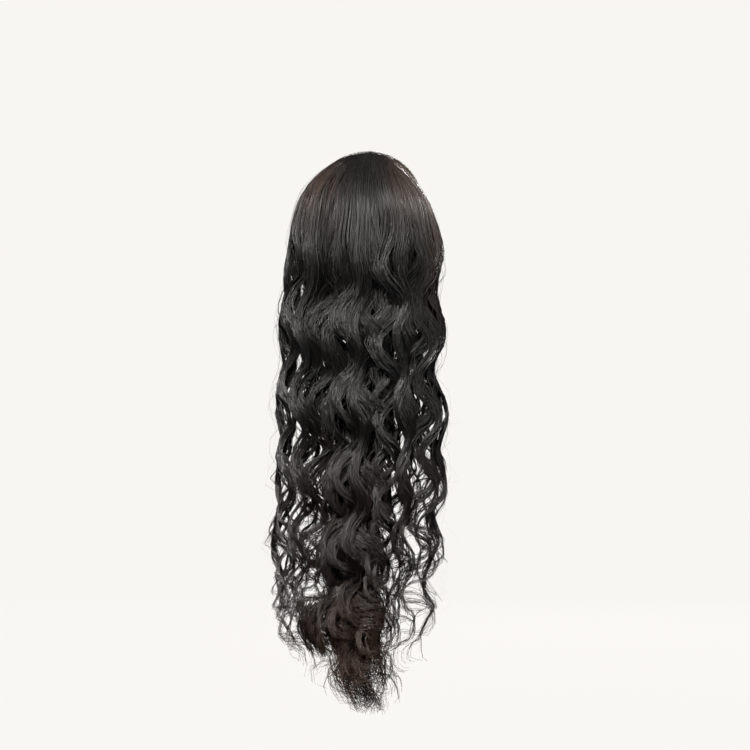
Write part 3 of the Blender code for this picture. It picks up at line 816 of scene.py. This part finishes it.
def makeBand():
    stations, rows = band["gathers"] * 8, 18
    turn = np.linspace(0, math.tau, stations, endpoint=False)
    fold = np.sin(turn * band["gathers"] + 1.2 * np.sin(turn * 5) + 0.7 * np.sin(turn * 11))
    low, high = -2.2, band["width"] + 0.2
    # round the folded edge: outer side up, then down the inner side
    share = np.linspace(0, 1, rows, endpoint=False)
    around = share * math.tau
    middle = (band["inside"] + band["outside"]) / 2
    half = (band["outside"] - band["inside"]) / 2 + band["thick"]
    side = np.sign(np.cos(around)) * np.abs(np.cos(around)) ** 0.45
    up = (low + high) / 2 + (high - low) / 2 * np.sign(np.sin(around)) * np.abs(np.sin(around)) ** 0.6
    swell = np.sin(np.clip((up - low) / (high - low), 0, 1) * math.pi)
    gather = band["rise"] * np.clip(side, 0, 1) * (0.35 + 0.65 * swell)
    inward = middle - domeRadius(middle, cap["depth"], np.clip(up, 0, None))
    radius = middle + half * side - inward + gather * (0.5 + 0.5 * fold[:, None])
    level = up + 0.35 * np.clip(side, 0, 1) * fold[:, None]
    points = np.stack((radius * np.sin(turn)[:, None], radius * np.cos(turn)[:, None], level), -1)
    places = placed(points.reshape(-1, 3)) * mm
    first = np.arange(stations)[:, None] * rows + np.arange(rows)[None, :]
    beside = np.roll(first, -1, axis=0)
    corners = (first, np.roll(first, -1, axis=1), np.roll(beside, -1, axis=1), beside)
    quads = np.stack(corners, -1).reshape(-1, 4)
    mesh = bpy.data.meshes.new("bandCloth")
    mesh.from_pydata(places.tolist(), [], quads.tolist())
    shape = bmesh.new()
    shape.from_mesh(mesh)
    bmesh.ops.recalc_face_normals(shape, faces=shape.faces)
    shape.to_mesh(mesh)
    shape.free()
    setTone(mesh, 0.0)
    cloth = newObject("bandCloth", mesh)
    seams = []
    for share in band["seams"]:
        up = low + (high - low) * share
        out = half + 0.9 + float(domeRadius(middle, cap["depth"], max(up, 0)))
        seams.append(ring(out, up, 0.45, 90, 541))
    piece = joined("gatheredBand", [cloth, threads("bandSeams", np.array(seams), 0.2, 1.0, 3)])
    elastic = clothMaterial("gathered elastic", band["colour"], band["thread"], 1400, 0.8, 0.8)
    setMaterial(piece, elastic)
    return piece


comb = {
    "width": 40, "spine": 5, "tooth": 15, "teeth": 9, "thick": 1.6, "offWall": 1.5, "clear": 3.4,
    "spineStations": 25, "toothStations": 14, "colour": (0.012, 0.012, 0.013),
}


def combMaterial():
    finish = bpy.data.materials.new("comb plastic")
    finish.use_nodes = True
    tree = finish.node_tree
    shader = tree.nodes["Principled BSDF"]
    shader.inputs["Base Color"].default_value = (*comb["colour"], 1)
    where = tree.nodes.new("ShaderNodeTexCoord")
    wear = tree.nodes.new("ShaderNodeTexNoise")
    wear.inputs["Scale"].default_value = 260
    rough = tree.nodes.new("ShaderNodeMapRange")
    rough.inputs["To Min"].default_value = 0.22
    rough.inputs["To Max"].default_value = 0.42
    tree.links.new(where.outputs["Object"], wear.inputs["Vector"])
    tree.links.new(wear.outputs["Fac"], rough.inputs["Value"])
    tree.links.new(rough.outputs["Result"], shader.inputs["Roughness"])
    return finish


def makeComb(name, flip, plastic):
    # flip is 1 for the upper comb and -1 for the lower one
    clear = comb["clear"] + comb["thick"] / 2
    inner, innerDepth = cap["radius"] - comb["offWall"], cap["depth"] - comb["offWall"]

    def onCap(across, level):
        radius = domeRadius(inner, innerDepth, level)
        up = (np.sqrt(radius**2 - across**2) - clear) * flip
        return np.stack((across * flip, up, level + 0 * across), -1)

    pitch = comb["width"] / (comb["teeth"] - 0.5)
    lefts = np.arange(comb["teeth"]) * pitch - comb["width"] / 2 + pitch / 4
    share = np.linspace(0, 1, comb["toothStations"])
    along = np.linspace(-1, 1, comb["spineStations"])
    spine = onCap(along * comb["width"] / 2, np.full(comb["spineStations"], comb["spine"] / 2))
    levels = comb["spine"] * 0.6 + (comb["spine"] * 0.4 + comb["tooth"]) * share
    teeth = np.array([onCap(np.full(comb["toothStations"], left), levels) for left in lefts])
    toothPoints, spinePoints = placed(teeth), placed(spine[None])
    outward = np.broadcast_to(np.array(seat.to_3x3()) @ np.array((0, flip, 0)), toothPoints.shape)
    narrow = pitch / 4 * (1 - 0.45 * share**2) * np.sqrt(np.clip((1.02 - share) * 9, 0.02, 1))
    across = np.broadcast_to(narrow, teeth.shape[:2])
    thin = comb["thick"] / 2 * np.sqrt(np.clip((1.02 - share) * 9, 0.1, 1))
    thin = np.broadcast_to(thin, teeth.shape[:2])
    prongs = hairMesh(name + "Teeth", toothPoints, outward, across * 1.05, thin, 10, 0.0, 0.0)
    outward = np.broadcast_to(outward[0, 0], spinePoints.shape)
    ends = np.sqrt(np.clip(1 - np.abs(along) ** 12, 0.2, 1))[None]
    tall, deep = comb["spine"] / 2 * ends, comb["thick"] / 2 * 1.1 * ends
    bar = hairMesh(name + "Spine", spinePoints, outward, tall, deep, 14, 0.0, 0.0)
    piece = joined(name, [prongs, bar])
    setMaterial(piece, plastic)
    return piece


combPlastic = combMaterial()
for piece, node, slotName in (
    (makeCap(), "base_cap", "cap_net"),
    (makeBand(), "edge_band", "band_elastic"),
    (makeComb("topComb", 1, combPlastic), "upper_comb", "comb_plastic"),
    (makeComb("lowComb", -1, combPlastic), "lower_comb", "comb_plastic"),
):
    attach(piece, "root")
    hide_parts(node)
print("cap, band and combs are made")
